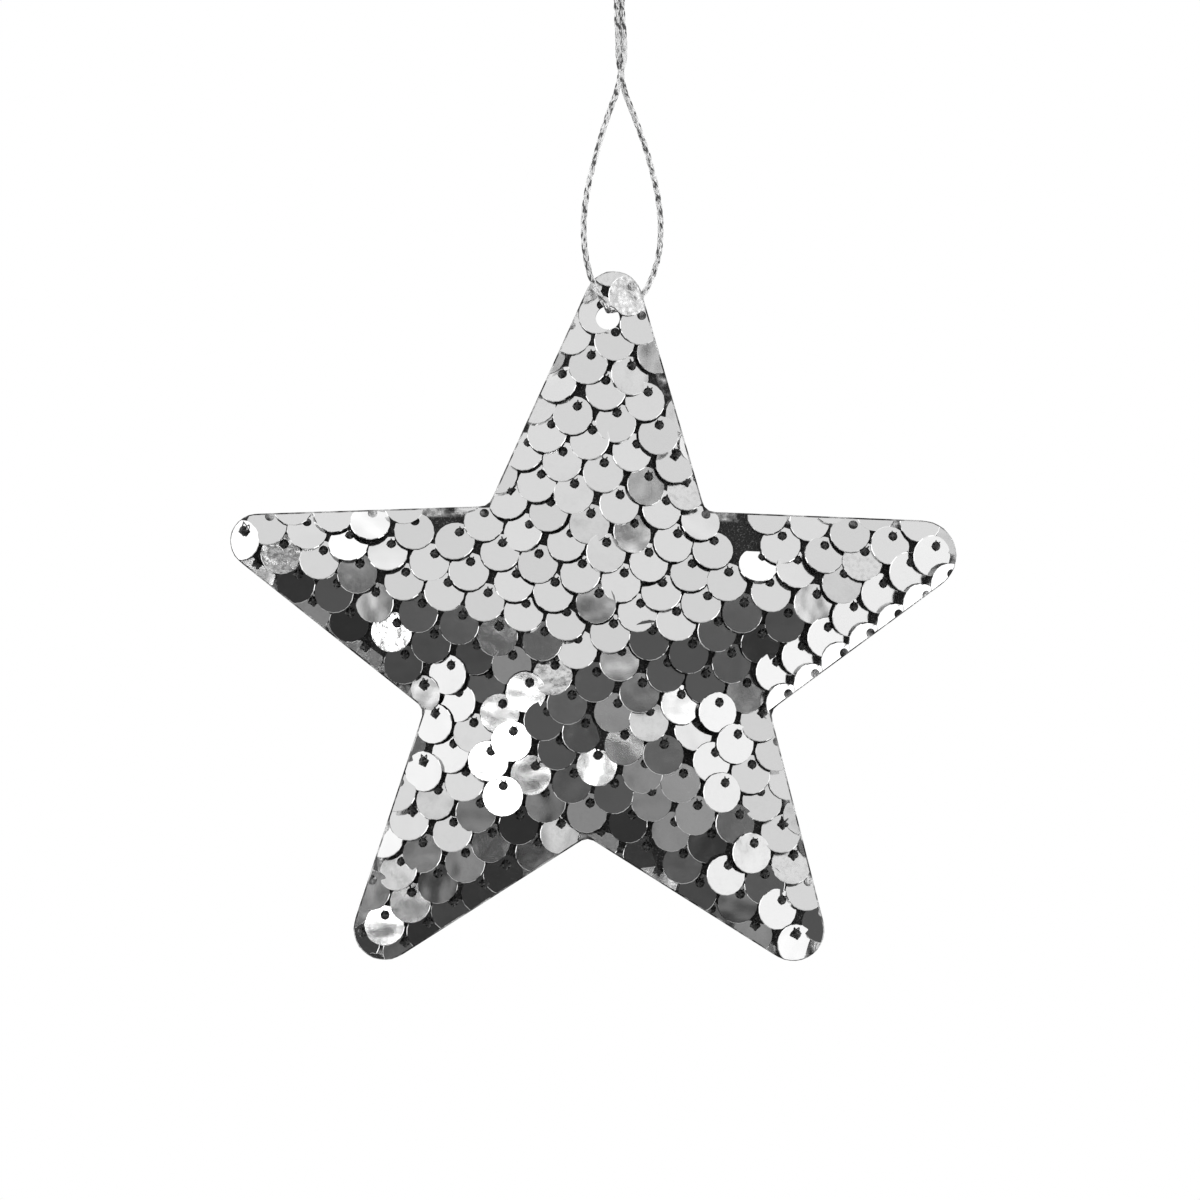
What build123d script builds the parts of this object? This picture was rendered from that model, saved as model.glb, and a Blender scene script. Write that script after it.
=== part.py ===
# Hanging sequin star: a puffed five-pointed star of sequin cloth on a silver cord.
# Millimetres. +Z up, the front faces -Y. The origin is where a hook bears inside the hanging eye.

import os
from math import acos, cos, hypot, radians, sin, tan

from build123d import *

os.makedirs("parts", exist_ok=True)

# Star outline, corner by corner from the top arm anticlockwise. It is hand cut, so each corner
# has a little extra reach and leans from its even fifth of the turn.
tip_reach = 54.4  # centre to an arm's sharp corner, before it is rounded
notch_reach = 22.6  # centre to the corner between two arms
tip_extra = [0.0, 0.0, 0.8, -1.2, 1.3]
tip_lean = [-1.1, 1.9, 0.6, 1.5, 0.6]
notch_extra = [0.0, 0.0, 0.6, 0.4, -0.4]
notch_lean = [2.5, 2.5, -0.6, 1.2, 0.0]
tip_rounds = [3.2, 3.4, 3.9, 3.9, 4.4]
notch_round = 1.5

# Thickness, from the middle plane outwards
rim_width = 0.9  # band pressed flat round the outline
rim_thickness = 1.0  # of both cloths together
cloth_thickness = 0.35
puff = 4.4  # how far the middle rises on each side
# Contours of one puffed side: share of the rise, and the contour's size as a share of its edge.
contours = [(0.0, 1.0), (0.2, 0.89), (0.44, 0.66), (0.71, 0.4), (0.92, 0.17), (1.0, 0.03)]

# Hanging hole, punched through the top arm
hole_diameter = 3.0
hole_inset = 12.7  # hole's centre to the arm's sharp corner

# Sequins
sequin_diameter = 5.0
sequin_thickness = 0.12
sequin_sides = 6
sequin_eye_offset = 1.3  # disc centre to its sewn eye
sequin_tilt = 9.0  # degrees that the lower edge stands off the cloth
sequin_gap = 0.04  # between a disc and the nearest of the cloth under it
sequin_pitch = 5.27  # along a row
row_pitch = 3.2
row_slope = 11.7  # degrees that a row falls towards the right
sequin_overhang = 0.5  # how far outside the puffed edge the centre of a cut sequin may lie
rows_per_band = 2
front_eye = (0.43, -2.61)  # one sequin's eye, from the star's centre
back_eye = (-1.10, 1.35)

# Cord
cord_diameter = 0.72
cord_sides = 7
cord_play = 0.03  # between the cord and the hole's edge
leg_lean = 0.56  # pinch, to the right of the hole
leg_rise = 29.95  # cord's centre in the hole to the pinch, where both legs meet
pair_length = 10.8  # the twisted stretch above the pinch
knot_height = 2.6
eye_height = 14.0
eye_width = 8.6
tail_length = 4.0
bend_gap = 0.2  # below the pinch, so that the loop can swing to and fro under it

pair_diameter = 2 * cord_diameter
knot_diameter = 2 * pair_diameter + 0.3

knot_top = pair_diameter / 2 - eye_height
knot_bottom = knot_top - knot_height
pinch_height = knot_bottom - pair_length
hinge_height = pinch_height - leg_rise
hole_reach = tip_reach + tip_extra[0] - hole_inset
star_height = hinge_height + cord_diameter / 2 + cord_play - hole_diameter / 2 - hole_reach

filling_edge = rim_thickness / 2 - cloth_thickness
deep = 3 * (puff + rim_thickness)  # past every puffed surface


# --- Outline -----------------------------------------------------------------------------------


def polar(reach, bearing):
    return reach * cos(radians(bearing)), reach * sin(radians(bearing))


def outline_corners():
    """Sharp corners, tip and notch in turn, anticlockwise from the top tip, from the star's centre."""
    corners = []
    for i in range(5):
        corners.append(polar(tip_reach + tip_extra[i], 90 + 72 * i + tip_lean[i]))
        corners.append(polar(notch_reach + notch_extra[i], 126 + 72 * i + notch_lean[i]))
    return corners


def moved_in(corners, inset):
    """The corners of the same outline with every edge moved in by inset."""
    moved = []
    for i, (x, z) in enumerate(corners):
        before, after = corners[i - 1], corners[(i + 1) % len(corners)]
        run_in, run_out = (x - before[0], z - before[1]), (after[0] - x, after[1] - z)
        normal_in = (-run_in[1] / hypot(*run_in), run_in[0] / hypot(*run_in))
        normal_out = (-run_out[1] / hypot(*run_out), run_out[0] / hypot(*run_out))
        share = inset / (1 + normal_in[0] * normal_out[0] + normal_in[1] * normal_out[1])
        moved.append(
            (x + share * (normal_in[0] + normal_out[0]), z + share * (normal_in[1] + normal_out[1]))
        )
    return moved


def flange(thickness):
    """The rounded outline, as thick as one pressed cloth, in front of the middle plane."""
    corners = [(x, z + star_height) for x, z in outline_corners()]
    rounds = [notch_round] * len(corners)
    rounds[::2] = tip_rounds
    with BuildSketch(Plane.XZ) as outline:
        with BuildLine():
            FilletPolyline(*corners, radius=rounds, close=True)
        make_face()
    extrude(outline.sketch, amount=thickness)


# --- Puffed surface ----------------------------------------------------------------------------


def puff_edge():
    """The pressed rim's inner edge in straight facets, anticlockwise, from the star's centre."""
    edge = []
    corners = [Vector(x, z) for x, z in moved_in(outline_corners(), rim_width)]
    for i, corner in enumerate(corners):
        if i % 2:
            edge.append((corner.X, corner.Y))
            continue
        before = (corners[i - 1] - corner).normalized()
        after = (corners[i + 1] - corner).normalized()
        half_turn = acos(before.dot(after)) / 2
        tip_round = tip_rounds[i // 2] - rim_width
        middle = corner + (before + after).normalized() * (tip_round / sin(half_turn) - tip_round)
        for point in (corner + before * (tip_round / tan(half_turn)), middle,
                      corner + after * (tip_round / tan(half_turn))):
            edge.append((point.X, point.Y))
    return edge


puffed_edge = puff_edge()


def edge_share(x, z):
    """The size of the contour through a point, as a share of the puffed side's edge."""
    for (ax, az), (bx, bz) in zip(puffed_edge, puffed_edge[1:] + puffed_edge[:1]):
        across = ax * bz - az * bx
        after_a, before_b = ax * z - az * x, x * bz - z * bx
        if after_a >= 0 and before_b >= 0:
            return (after_a + before_b) / across
    return 0.0


def puff_rise(x, z):
    """How far the puffed surface stands above its edge there, from the star's centre."""
    share = edge_share(x, z)
    for (low, outer), (high, inner) in zip(contours, contours[1:]):
        if share >= inner:
            return puff * max(0, low + (high - low) * (outer - share) / (outer - inner))
    return puff


def puffed_half(edge_height):
    """The front half of the pad: a stack of its contours, joined by flat facets."""
    rings = [[Vector(x, 0, z + star_height) for x, z in puffed_edge]]
    for rise, share in contours:
        height = edge_height + puff * rise
        rings.append([Vector(share * x, -height, share * z + star_height) for x, z in puffed_edge])
    faces = [Face(Wire.make_polygon(rings[0])), Face(Wire.make_polygon(rings[-1]))]
    for lower, upper in zip(rings, rings[1:]):
        for i in range(len(lower)):
            faces.append(Face(Wire.make_polygon([lower[i - 1], lower[i], upper[i], upper[i - 1]])))
    return Solid(Shell(faces))


def edge_prism(mode):
    """Everything inside the puffed side's edge."""
    with BuildSketch(Plane.XZ) as inside:
        with BuildLine():
            Polyline(*[(x, z + star_height) for x, z in puffed_edge], close=True)
        make_face()
    extrude(inside.sketch, amount=deep, both=True, mode=mode)


# --- Filling and cloths ------------------------------------------------------------------------


def punch_hole():
    with BuildSketch(Plane.XZ) as hole:
        with Locations((0, hole_reach + star_height)):
            Circle(hole_diameter / 2)
    extrude(hole.sketch, amount=deep, both=True, mode=Mode.SUBTRACT)


with BuildPart() as filling:
    add(puffed_half(filling_edge))
    mirror(about=Plane.XZ)
    punch_hole()
filling.part.label = "filling"

with BuildPart() as front_cloth:
    flange(rim_thickness / 2)
    add(puffed_half(rim_thickness / 2))
    add(puffed_half(filling_edge), mode=Mode.SUBTRACT)
    punch_hole()
front_cloth.part.label = "front_cloth"

with BuildPart() as back_cloth:
    mirror(front_cloth.part, about=Plane.XZ)
back_cloth.part.label = "back_cloth"


# --- Sequins -----------------------------------------------------------------------------------

along_row = Vector(cos(radians(row_slope)), 0, -sin(radians(row_slope)))
up_rows = Vector(sin(radians(row_slope)), 0, cos(radians(row_slope)))


def edge_clearance(x, z):
    """Distance from a point to the nearest edge of the puffed side, negative outside."""
    nearest, inside = deep, False
    for (ax, az), (bx, bz) in zip(puffed_edge, puffed_edge[1:] + puffed_edge[:1]):
        ex, ez = bx - ax, bz - az
        along = max(0.0, min(1.0, ((x - ax) * ex + (z - az) * ez) / (ex * ex + ez * ez)))
        nearest = min(nearest, hypot(x - ax - along * ex, z - az - along * ez))
        if (az > z) != (bz > z) and x < ex * (z - az) / ez + ax:
            inside = not inside
    return nearest if inside else -nearest


def row_places(first_eye, row):
    """Disc centres of one row, from the star's centre. Every other row is shifted half a pitch."""
    reach = round(2 * tip_reach / sequin_pitch)
    start = Vector(first_eye[0], 0, first_eye[1]) - up_rows * (sequin_eye_offset + row * row_pitch)
    shift = sequin_pitch / 2 * (row % 2)
    places = [start + along_row * (shift + i * sequin_pitch) for i in range(-reach, reach + 1)]
    return [p for p in places if edge_clearance(p.X, p.Z) > -sequin_overhang]


def sequin_plane(place, side):
    """Where a disc lies: leaning on the cloth, its lower edge out. Side is -1 at the front, 1 at the back."""
    span = sequin_diameter / 3
    heights = []
    for step in (along_row * span, along_row * -span, up_rows * span, up_rows * -span):
        heights.append(puff_rise(place.X + step.X, place.Z + step.Z))
    along = along_row * (2 * span) + Vector(0, side * (heights[0] - heights[1]), 0)
    upward = up_rows * (2 * span) + Vector(0, side * (heights[2] - heights[3]), 0)
    outward = along.cross(upward).normalized() * -side
    leaning = upward.normalized() * sin(radians(sequin_tilt)) + outward * cos(radians(sequin_tilt))
    seat = Plane(origin=(place.X, 0, place.Z + star_height), x_dir=along, z_dir=leaning)
    sunk = []
    for reach in (0.0, 0.5, 1.0):
        for turn in range(0, 360, 30):
            spot = seat.from_local_coords(Vector(*polar(reach * sequin_diameter / 2, turn)))
            cloth = rim_thickness / 2 + puff_rise(spot.X, spot.Z - star_height)
            sunk.append(cloth - side * spot.Y)
    return Plane(
        origin=seat.origin + Vector(0, side * (max(sunk) + sequin_gap), 0), x_dir=along, z_dir=leaning
    )


with BuildPart() as sequin:
    with BuildSketch():
        RegularPolygon(sequin_diameter / 2, sequin_sides)
    extrude(amount=sequin_thickness)


def sequin_band(side, first_eye, rows):
    """The sequins of a few neighbouring rows, cut off where they meet the rim and the hole."""
    with BuildPart(mode=Mode.PRIVATE) as band:
        with Locations(*[sequin_plane(place, side) for row in rows for place in row_places(first_eye, row)]):
            add(sequin.part)
        edge_prism(Mode.INTERSECT)
        punch_hole()
    return band.part


bands = []
for side_name, side, first_eye in (("front", -1, front_eye), ("back", 1, back_eye)):
    reach_in_rows = round(tip_reach / row_pitch) + 2
    filled = [r for r in range(-reach_in_rows, reach_in_rows) if row_places(first_eye, r)]
    for number, first in enumerate(range(filled[0], filled[-1] + 1, rows_per_band), 1):
        band = sequin_band(side, first_eye, range(first, first + rows_per_band))
        band.label = f"{side_name}_sequins_{number:02d}"
        bands.append(band)

# --- Cord --------------------------------------------------------------------------------------


def bend_radii(points):
    """The largest arcs that leave a short straight stretch in every run."""
    radii = []
    for before, at, after in zip(points, points[1:], points[2:]):
        run_in, run_out = at - before, after - at
        turn = acos(run_in.normalized().dot(run_out.normalized()))
        radii.append(0.45 * min(run_in.length, run_out.length) / tan(turn / 2))
    return radii


def cord(points, diameter):
    """A cord through hand-placed points, straight runs joined by tangent arcs."""
    points = [Vector(*p) for p in points]
    radii = bend_radii(points)
    with BuildPart(mode=Mode.PRIVATE) as stretch:
        with BuildLine() as route:
            FilletPolyline(*points, radius=radii)
        path = route.wires()[0]
        with BuildSketch(Plane(origin=path @ 0, z_dir=path % 0)):
            RegularPolygon(diameter / 2, cord_sides)
        sweep(path=path)
    print("length", round(path.length, 1), "bend radii", [round(r, 1) for r in radii])
    return stretch.part


def from_hinge(points):
    return [(x, y, z + hinge_height) for x, y, z in points]


leg_top = leg_rise - bend_gap
leg_side = cord_diameter / 2 + 0.01
front_leg_points = from_hinge([
    (leg_lean, -leg_side, leg_top), (0.42, -0.45, 27.9), (-0.9, -1.1, 24.2), (-2.15, -1.8, 19.4),
    (-3.15, -2.45, 14.8), (-3.5, -3.0, 10.6), (-3.15, -3.4, 6.7), (-2.2, -3.5, 3.2),
    (-0.05, -3.1, 0.1), (0.0, 0.0, 0.0),
])
back_leg_points = from_hinge([
    (leg_lean, leg_side, leg_top), (0.75, 0.45, 27.9), (2.5, 1.1, 24.2), (4.3, 1.8, 19.6),
    (5.65, 2.4, 15.1), (6.3, 2.9, 11.0), (6.2, 3.2, 7.2), (5.2, 3.45, 3.5), (3.3, 3.45, 0.7),
    (0.05, 3.1, 0.05), (0.0, 0.0, 0.0),
])
pair_points = [
    (leg_lean, 0, pinch_height), (leg_lean, 0, pinch_height + 0.3 * pair_length),
    (0, 0, pinch_height + 0.7 * pair_length), (0, 0, knot_bottom),
]
half_eye = [
    (pair_diameter / 2 + 0.02, 0, knot_top), (pair_diameter / 2 + 0.02, 0, knot_top + 0.11 * eye_height),
    (0.3 * eye_width, 0, knot_top + 0.3 * eye_height), (0.47 * eye_width, 0, knot_top + 0.52 * eye_height),
    (0.49 * eye_width, 0, knot_top + 0.77 * eye_height), (0.3 * eye_width, 0, pair_diameter / 2),
]
eye_points = half_eye + [(-x, y, z) for x, y, z in reversed(half_eye)]
tail_points = [
    (0, 0.35 * knot_diameter, knot_top), (0, 0.42 * knot_diameter, knot_top + 0.42 * tail_length),
    (0.3, 0.8 * knot_diameter, knot_top + 0.85 * tail_length),
]

cords = []
for label, points, diameter in (
    ("cord_front_leg", front_leg_points, cord_diameter),
    ("cord_back_leg", back_leg_points, cord_diameter),
    ("cord_pair", pair_points, pair_diameter),
    ("cord_eye", eye_points, pair_diameter),
):
    stretch = cord(points, diameter)
    stretch.label = label
    cords.append(stretch)

with BuildPart() as cord_tails:
    add(cord(tail_points, cord_diameter))
    add(cord([(-x, -y, z) for x, y, z in tail_points], cord_diameter))
cord_tails.part.label = "cord_tails"

with BuildPart() as cord_knot:
    with BuildSketch(Plane.XZ):
        with BuildLine():
            wide, waist = knot_diameter / 2, 0.91 * knot_diameter / 2
            Polyline(
                (0, knot_bottom), (0.85 * wide, knot_bottom), (wide, knot_bottom + 0.25 * knot_height),
                (waist, knot_bottom + 0.5 * knot_height), (wide, knot_bottom + 0.75 * knot_height),
                (0.94 * wide, knot_top), (0, knot_top), close=True,
            )
        make_face()
    revolve(axis=Axis.Z)
cord_knot.part.label = "cord_knot"

for piece in [filling.part, front_cloth.part, back_cloth.part, *bands, *cords, cord_tails.part, cord_knot.part]:
    export_step(piece, f"parts/{piece.label}.step")
    print(piece.label, len(piece.solids()), round(piece.volume, 1))
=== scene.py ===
import random
from math import acos, atan2, cos, hypot, pi, radians, sin, tan

import bmesh
import bpy
import numpy as np
from mathutils import Matrix, Quaternion, Vector, noise
from mathutils.bvhtree import BVHTree


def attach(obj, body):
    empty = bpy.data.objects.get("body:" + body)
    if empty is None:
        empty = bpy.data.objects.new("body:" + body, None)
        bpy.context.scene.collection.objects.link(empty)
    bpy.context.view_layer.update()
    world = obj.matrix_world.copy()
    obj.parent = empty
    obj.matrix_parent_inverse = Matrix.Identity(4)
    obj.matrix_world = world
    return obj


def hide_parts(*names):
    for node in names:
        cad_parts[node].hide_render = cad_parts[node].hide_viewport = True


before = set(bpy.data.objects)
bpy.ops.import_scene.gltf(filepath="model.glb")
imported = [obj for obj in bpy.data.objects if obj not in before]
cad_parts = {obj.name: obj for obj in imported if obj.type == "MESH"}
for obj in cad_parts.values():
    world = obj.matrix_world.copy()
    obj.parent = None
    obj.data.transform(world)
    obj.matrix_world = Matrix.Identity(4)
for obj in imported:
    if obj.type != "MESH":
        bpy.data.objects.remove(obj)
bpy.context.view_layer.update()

mm = 0.001

# Places down the hanging line, in millimetres from the hook that bears in the eye
drop = {"knotTop": -13.28, "knotBottom": -15.88, "pinch": -26.68, "hinge": -56.63, "star": -99.44}


def linked(name, data):
    thing = bpy.data.objects.new(name, data)
    bpy.context.collection.objects.link(thing)
    return thing


# ---- camera first: a long lens, rolled a little because the star hangs askew
view = {"aim": (0.28, 6.45), "width": 150.0, "distance": 900.0, "roll": 2.03}


def placeCamera():
    lens = bpy.data.cameras.new("longLens")
    lens.sensor_width = 36
    lens.lens = 36 * view["distance"] / view["width"]
    lens.clip_start, lens.clip_end = 0.01, 20
    camera = linked("camera", lens)
    roll = radians(view["roll"])
    back = Vector((0, -1, 0))
    up = Vector((-sin(roll), 0, cos(roll)))
    side = up.cross(back)
    turn = Matrix((side, up, back)).transposed().to_4x4()
    aim = Vector((view["aim"][0], 0, drop["star"] + view["aim"][1]))
    camera.matrix_world = Matrix.Translation((aim + back * view["distance"]) * mm) @ turn
    bpy.context.scene.camera = camera


placeCamera()
print("camera placed")


# ---- shader maths written as expressions
class Wire:
    def __init__(self, tree, socket):
        self.tree, self.socket = tree, socket

    def sum(self, operation, *values):
        return addNode(self.tree, "ShaderNodeMath", {"operation": operation}, self, *values)

    def __add__(self, other): return self.sum("ADD", other)
    def __radd__(self, other): return self.sum("ADD", other)
    def __mul__(self, other): return self.sum("MULTIPLY", other)
    def __gt__(self, other): return self.sum("GREATER_THAN", other)
    def __abs__(self): return self.sum("ABSOLUTE")

    def __rsub__(self, other):
        return addNode(self.tree, "ShaderNodeMath", {"operation": "SUBTRACT"}, other, self)

    def clamp(self):
        return addNode(self.tree, "ShaderNodeClamp", {}, self)


def addNode(tree, kind, settings, *values, output=0, **named):
    node = tree.nodes.new(kind)
    for key, value in settings.items():
        if key == "stops":
            ramp = node.color_ramp
            while len(ramp.elements) < len(value):
                ramp.elements.new(0.5)
            for element, (place, grey) in zip(ramp.elements, value):
                element.position = place
                element.color = (grey, grey, grey, 1)
        else:
            setattr(node, key, value)
    for key, value in [*enumerate(values), *named.items()]:
        socket = node.inputs[key] if isinstance(key, int) else node.inputs[key.replace("_", " ")]
        if isinstance(value, Wire):
            tree.links.new(value.socket, socket)
        else:
            socket.default_value = value
    return Wire(tree, node.outputs[output])


def mixGrey(tree, factor, low, high):
    # the factor is a wire; low and high are wires or plain greys
    node = tree.nodes.new("ShaderNodeMix")
    node.data_type = "RGBA"
    for key, value in ((0, factor), (6, low), (7, high)):
        if isinstance(value, Wire):
            tree.links.new(value.socket, node.inputs[key])
        else:
            node.inputs[key].default_value = (value, value, value, 1)
    return Wire(tree, node.outputs[2])


def newMaterial(name):
    material = bpy.data.materials.new(name)
    material.use_nodes = True
    tree = material.node_tree
    return material, tree, tree.nodes["Principled BSDF"]


def feed(tree, shader, **values):
    for key, value in values.items():
        socket = shader.inputs[key.replace("_", " ")]
        if isinstance(value, Wire):
            tree.links.new(value.socket, socket)
        else:
            socket.default_value = value


def bump(tree, height, strength, distance):
    return addNode(tree, "ShaderNodeBump", {}, Height=height, Strength=strength, Distance=distance)


# ---- materials
def silverSequin():
    material, tree, shader = newMaterial("silverSequin")
    place = addNode(tree, "ShaderNodeTexCoord", {}, output=3)
    seed = addNode(tree, "ShaderNodeAttribute", {"attribute_name": "sequinSeed"}, output=2)
    dents = addNode(tree, "ShaderNodeTexNoise", {"noise_dimensions": "4D"}, Vector=place, W=seed * 40,
                    Scale=260.0, Detail=1.0)
    grain = addNode(tree, "ShaderNodeTexNoise", {"noise_dimensions": "4D"}, Vector=place, W=seed * 17,
                    Scale=2300.0, Detail=3.0)
    creases = addNode(tree, "ShaderNodeTexNoise", {"noise_dimensions": "4D"}, Vector=place, W=seed * 29,
                      Scale=620.0, Detail=1.5)
    crumpled = seed > 0.975
    worn = addNode(tree, "ShaderNodeValToRGB", {"stops": [(0.45, 0), (0.7, 1)]}, grain)
    roughness = 0.09 + seed * 0.06 + worn * (0.03 + crumpled * 0.16)
    shade = (seed * 7.3).sum("FRACT")
    color = mixGrey(tree, (shade * 0.75 + worn * (0.08 + crumpled * 0.8)).clamp(), 0.88, 0.74)
    height = dents * 0.7 + creases * crumpled * 1.2 + grain * (0.01 + crumpled * 0.12)
    feed(tree, shader, Base_Color=color, Metallic=1.0, Roughness=roughness,
         Normal=bump(tree, height, 0.35, 0.0003))
    return material


def knitCloth():
    material, tree, shader = newMaterial("knitCloth")
    place = addNode(tree, "ShaderNodeTexCoord", {}, output=3)
    loops = addNode(tree, "ShaderNodeTexVoronoi", {"feature": "F1"}, Vector=place, Scale=2600.0, Randomness=0.55)
    fuzz = addNode(tree, "ShaderNodeTexNoise", {}, Vector=place, Scale=5200.0, Detail=4.0)
    # the light specks on the near-black yarn are painted glints, a painted highlight on the fibres, mixed into
    # the yarn colour below
    paintedGlints = addNode(tree, "ShaderNodeValToRGB", {"stops": [(0.55, 0), (0.68, 1)]}, fuzz)
    edge = addNode(tree, "ShaderNodeAttribute", {"attribute_name": "edgeBand"}, output=2)
    crush = addNode(tree, "ShaderNodeTexNoise", {}, Vector=place, Scale=420.0, Detail=4.0)
    foil = (edge * addNode(tree, "ShaderNodeValToRGB", {"stops": [(0.42, 0), (0.56, 1)]}, crush)).clamp()
    yarn = mixGrey(tree, paintedGlints * 0.55, 0.018, 0.3)
    yarn = mixGrey(tree, foil, yarn, 0.62)
    feed(tree, shader, Base_Color=yarn, Metallic=foil * 0.9, Roughness=0.85 - foil * 0.5,
         Normal=bump(tree, loops * -1 + fuzz * 0.4 + crush * foil, 0.8, 0.0002))
    return material


def threadBlack():
    material, tree, shader = newMaterial("threadBlack")
    place = addNode(tree, "ShaderNodeTexCoord", {}, output=3)
    fibre = addNode(tree, "ShaderNodeTexNoise", {}, Vector=place, Scale=4200.0, Detail=3.0)
    shine = addNode(tree, "ShaderNodeValToRGB", {"stops": [(0.56, 0), (0.72, 1)]}, fibre)
    feed(tree, shader, Base_Color=mixGrey(tree, shine, 0.012, 0.2), Roughness=0.5,
         Normal=bump(tree, fibre, 0.8, 0.00012))
    return material


def metallicYarn():
    material, tree, shader = newMaterial("metallicYarn")
    run = addNode(tree, "ShaderNodeUVMap", {"uv_map": "alongYarn"})
    plies = addNode(tree, "ShaderNodeTexWave", {"wave_type": "BANDS", "bands_direction": "DIAGONAL"},
                    Vector=run, Scale=0.2, Distortion=3.0, Detail=1.0)
    # the narrow dark bands are painted shade in the grooves between the plies, which are also made rougher there
    dark = addNode(tree, "ShaderNodeValToRGB", {"stops": [(0.08, 1), (0.3, 0)]}, plies)
    feed(tree, shader, Base_Color=mixGrey(tree, dark, 0.95, 0.13), Metallic=0.45,
         Roughness=0.3 + dark * 0.3, Normal=bump(tree, plies, 0.3, 0.0001))
    return material


sequinFilm, cloth, thread, yarn = silverSequin(), knitCloth(), threadBlack(), metallicYarn()
print("materials made")


# ---- cord: one route for each stretch, in millimetres
cordFacts = {"diameter": 0.74, "yarns": 6, "yarnDiameter": 0.27, "core": 0.46, "lay": 5.2, "opening": 2.4,
             "eyeLay": 16.0, "yarnShift": 3.7}
leanTop = 0.56  # pinch, to the right of the hole
frontLeg = [(leanTop, -0.37, 29.95), (0.42, -0.45, 27.9), (-0.9, -1.1, 24.2), (-2.15, -1.8, 19.4),
            (-3.15, -2.45, 14.8), (-3.5, -3.0, 10.6), (-3.15, -3.4, 6.7), (-2.2, -3.5, 3.2),
            (-0.05, -3.6, -0.12), (0.0, 0.0, -0.06)]
backLeg = [(leanTop, 0.37, 29.95), (0.75, 0.45, 27.9), (2.5, 1.1, 24.2), (4.3, 1.8, 19.6),
           (5.65, 2.4, 15.1), (6.3, 2.9, 11.0), (6.2, 3.2, 7.2), (5.2, 3.45, 3.5), (3.3, 3.45, 0.7),
           (0.05, 3.6, -0.12), (0.0, 0.0, -0.06)]
pairRoute = [(leanTop, 0, drop["pinch"]), (leanTop, 0, -23.44), (0, 0, -19.12), (0, 0, drop["knotBottom"])]
halfEye = [(0.74, 0, drop["knotTop"]), (0.74, 0, -11.74), (2.58, 0, -9.08),
           (4.04, 0, -6.0), (4.21, 0, -2.5), (2.58, 0, 0.72)]
eyeRoute = halfEye + [(-x, y, z) for x, y, z in reversed(halfEye)]
tailRoute = [(0, 1.11, drop["knotTop"]), (0, 1.34, -11.6), (0.3, 2.54, -9.88)]


def lowered(points, by):
    return [(x, y, z + by) for x, y, z in points]


def splineObject(name, route):
    curve = bpy.data.curves.new(name, "CURVE")
    curve.dimensions = "3D"
    curve.resolution_u = 24
    spline = curve.splines.new("NURBS")
    spline.points.add(len(route) - 1)
    for point, place in zip(spline.points, route):
        point.co = (*(Vector(place) * mm), 1)
    spline.order_u = 3
    spline.use_endpoint_u = True
    line = linked(name, curve)
    return line


def followedPoints(route):
    line = splineObject("route", route)
    bpy.context.view_layer.update()
    mesh = bpy.data.meshes.new_from_object(line.evaluated_get(bpy.context.evaluated_depsgraph_get()))
    points = [v.co / mm for v in mesh.vertices]
    bpy.data.objects.remove(line)
    bpy.data.meshes.remove(mesh)
    return points


def framesAlong(points):
    ahead = [(points[min(i + 1, len(points) - 1)] - points[max(i - 1, 0)]).normalized()
             for i in range(len(points))]
    side = Vector((1, 0, 0)) if abs(ahead[0].x) < 0.8 else Vector((0, 0, 1))
    frames = []
    for direction in ahead:
        side = (side - direction * side.dot(direction)).normalized()
        frames.append((side, direction.cross(side)))
    return frames


def offsetStrand(points, radius, lay, phase):
    # lay is the length of one turn, or a function that gives the turn after a length of the way
    strand, run = [], 0.0
    for i, (point, (side, other)) in enumerate(zip(points, framesAlong(points))):
        if i:
            run += (point - points[i - 1]).length
        turn = phase + (lay(run) if callable(lay) else 2 * pi * run / lay)
        strand.append(point + (side * cos(turn) + other * sin(turn)) * radius)
    return strand


def tubeInto(mesh, uvs, points, radius, sides, taper=None, start=0.0):
    rings, run = [], start
    frames = framesAlong(points)
    for i, (point, (side, other)) in enumerate(zip(points, frames)):
        if i:
            run += (point - points[i - 1]).length
        wide = radius * (taper(i / (len(points) - 1)) if taper else 1)
        turns = [2 * pi * k / sides for k in range(sides)]
        ring = [mesh.verts.new((point + (side * cos(turn) + other * sin(turn)) * wide) * mm) for turn in turns]
        rings.append((run, ring))
    for (runA, a), (runB, b) in zip(rings, rings[1:]):
        for k in range(sides):
            face = mesh.faces.new((a[k], a[(k + 1) % sides], b[(k + 1) % sides], b[k]))
            face.smooth = True
            for loop, uv in zip(face.loops, ((runA, k), (runA, k + 1), (runB, k + 1), (runB, k))):
                loop[uvs].uv = (uv[0], uv[1] / sides)
    for ring, flip in ((rings[0][1], True), (rings[-1][1], False)):
        cap = mesh.faces.new(ring[::-1] if flip else ring)
        for loop in cap.loops:
            loop[uvs].uv = (0, 0)


def braidInto(mesh, uvs, points, scale=1.0):
    # a soft core with yarns laid both ways round it
    tubeInto(mesh, uvs, points, cordFacts["core"] / 2 * scale, 8)
    lift = (cordFacts["diameter"] - cordFacts["yarnDiameter"]) / 2 * scale
    for k in range(cordFacts["yarns"]):
        way = 1 if k % 2 else -1
        phase = 4 * pi * (k // 2) / cordFacts["yarns"] + (0.5 if k % 2 else 0)
        strand = offsetStrand(points, lift, way * cordFacts["lay"], phase)
        tubeInto(mesh, uvs, strand, cordFacts["yarnDiameter"] / 2 * scale, 6, start=k * cordFacts["yarnShift"])


def meshObject(name, material, build):
    data = bpy.data.meshes.new(name)
    mesh = bmesh.new()
    uvs = mesh.loops.layers.uv.new("alongYarn")
    build(mesh, uvs)
    bmesh.ops.recalc_face_normals(mesh, faces=mesh.faces)
    mesh.to_mesh(data)
    mesh.free()
    data.materials.append(material)
    piece = linked(name, data)
    return piece


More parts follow.
